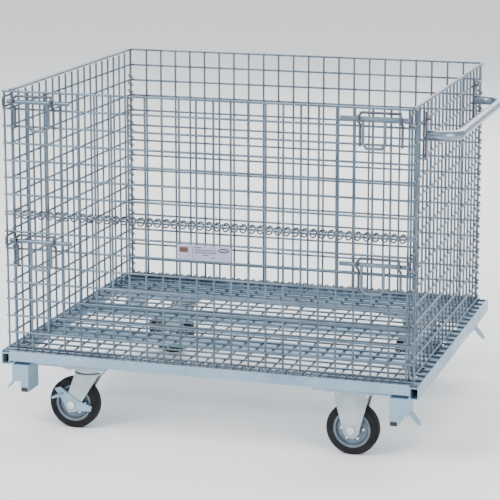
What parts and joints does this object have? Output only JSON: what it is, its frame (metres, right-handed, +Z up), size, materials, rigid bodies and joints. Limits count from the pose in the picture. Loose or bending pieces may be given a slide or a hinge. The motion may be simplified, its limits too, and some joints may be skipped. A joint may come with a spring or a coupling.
{
  "type": "wire mesh pallet container on casters",
  "caption": "Welded wire mesh pallet container on casters, with a half-drop front gate, slide-bolt latches, coil hinges, stacking legs and a tubular push handle.",
  "frame": {"origin": "point on the floor under the middle of the base frame", "axes": "+Z up, -Y towards the drop-gate front, +X towards the push handle"},
  "size_m": [1.3035, 1.0281, 0.9945],
  "materials": {
    "zinc_wire": "bright zinc plated drawn wire",
    "zinc_sheet": "zinc plated pressed steel",
    "zinc_tube": "zinc plated round tube",
    "fastener": "bright zinc plated",
    "tyre_rubber": "black solid rubber",
    "pad": "black moulded pad",
    "card": "pale blue-grey printed plate"
  },
  "bodies": {
    "base": {"deck_mesh": "zinc_wire", "back_panel_mesh": "zinc_wire", "left_panel_mesh": "zinc_wire", "right_panel_mesh": "zinc_wire", "side_beams": "zinc_sheet", "end_beams": "zinc_sheet", "deck_bands": "zinc_sheet", "caster_mounts": "zinc_sheet", "corner_legs": "zinc_sheet", "foot_pads": "pad", "swivel_heads": "zinc_sheet", "rigid_forks": "zinc_sheet", "rigid_axles": "fastener", "caster_bolts": "fastener", "latch_staples": "zinc_wire", "coil_front_foot": "zinc_wire", "coil_back_foot": "zinc_wire", "coil_corner_left": "zinc_wire", "coil_corner_right": "zinc_wire", "push_handle": "zinc_tube", "handle_brackets": "zinc_sheet"},
    "lower_panel": {"lower_panel_mesh": "zinc_wire", "lower_latch_guides": "zinc_wire", "coil_gate": "zinc_wire", "name_plate": "card"},
    "gate": {"gate_mesh": "zinc_wire", "upper_latch_guides": "zinc_wire"},
    "upper_latch_left": {"upper_bolt_left": "zinc_wire", "upper_pull_left": "zinc_wire"},
    "upper_latch_right": {"upper_bolt_right": "zinc_wire", "upper_pull_right": "zinc_wire"},
    "lower_latch_left": {"lower_bolt_left": "zinc_wire", "lower_pull_left": "zinc_wire"},
    "lower_latch_right": {"lower_bolt_right": "zinc_wire", "lower_pull_right": "zinc_wire"},
    "swivel_front": {"swivel_fork_front": "zinc_sheet", "swivel_axle_front": "fastener"},
    "pedal_front": {"brake_pedal_front": "zinc_sheet"},
    "wheel_left_front": {"tyre_left_front": "tyre_rubber", "hub_left_front": "zinc_sheet"},
    "wheel_right_front": {"tyre_right_front": "tyre_rubber", "hub_right_front": "zinc_sheet"},
    "swivel_rear": {"swivel_fork_rear": "zinc_sheet", "swivel_axle_rear": "fastener"},
    "pedal_rear": {"brake_pedal_rear": "zinc_sheet"},
    "wheel_left_rear": {"tyre_left_rear": "tyre_rubber", "hub_left_rear": "zinc_sheet"},
    "wheel_right_rear": {"tyre_right_rear": "tyre_rubber", "hub_right_rear": "zinc_sheet"}
  },
  "joints": [
    {"name": "lower_panel_hinge", "type": "hinge", "parent": "base", "child": "lower_panel", "pos_m": [0, -0.49, 0.24], "axis": [1, 0, 0], "range_deg": [0, 90]},
    {"name": "gate_hinge", "type": "hinge", "parent": "lower_panel", "child": "gate", "pos_m": [0, -0.49, 0.644], "axis": [1, 0, 0], "range_deg": [0, 150]},
    {"name": "upper_latch_left_slide", "type": "slide", "parent": "gate", "child": "upper_latch_left", "axis": [-1, 0, 0], "range_m": [0, 0.036]},
    {"name": "upper_latch_right_slide", "type": "slide", "parent": "gate", "child": "upper_latch_right", "axis": [1, 0, 0], "range_m": [0, 0.036]},
    {"name": "lower_latch_left_slide", "type": "slide", "parent": "lower_panel", "child": "lower_latch_left", "axis": [-1, 0, 0], "range_m": [0, 0.036]},
    {"name": "lower_latch_right_slide", "type": "slide", "parent": "lower_panel", "child": "lower_latch_right", "axis": [1, 0, 0], "range_m": [0, 0.036]},
    {"name": "swivel_front_turn", "type": "hinge", "parent": "base", "child": "swivel_front", "pos_m": [-0.376, -0.42, 0.168], "axis": [0, 0, 1], "continuous": true},
    {"name": "brake_pedal_front_press", "type": "hinge", "parent": "swivel_front", "child": "pedal_front", "pos_m": [-0.421, -0.42, 0.075], "axis": [0, -1, 0], "range_deg": [0, 15]},
    {"name": "wheel_left_front_spin", "type": "hinge", "parent": "swivel_front", "child": "wheel_left_front", "pos_m": [-0.421, -0.42, 0.075], "axis": [0, 1, 0], "continuous": true},
    {"name": "wheel_right_front_spin", "type": "hinge", "parent": "base", "child": "wheel_right_front", "pos_m": [0.412, -0.42, 0.075], "axis": [0, 1, 0], "continuous": true},
    {"name": "swivel_rear_turn", "type": "hinge", "parent": "base", "child": "swivel_rear", "pos_m": [-0.376, 0.42, 0.168], "axis": [0, 0, 1], "continuous": true},
    {"name": "brake_pedal_rear_press", "type": "hinge", "parent": "swivel_rear", "child": "pedal_rear", "pos_m": [-0.421, 0.42, 0.075], "axis": [0, -1, 0], "range_deg": [0, 15]},
    {"name": "wheel_left_rear_spin", "type": "hinge", "parent": "swivel_rear", "child": "wheel_left_rear", "pos_m": [-0.421, 0.42, 0.075], "axis": [0, 1, 0], "continuous": true},
    {"name": "wheel_right_rear_spin", "type": "hinge", "parent": "base", "child": "wheel_right_rear", "pos_m": [0.412, 0.42, 0.075], "axis": [0, 1, 0], "continuous": true}
  ]
}
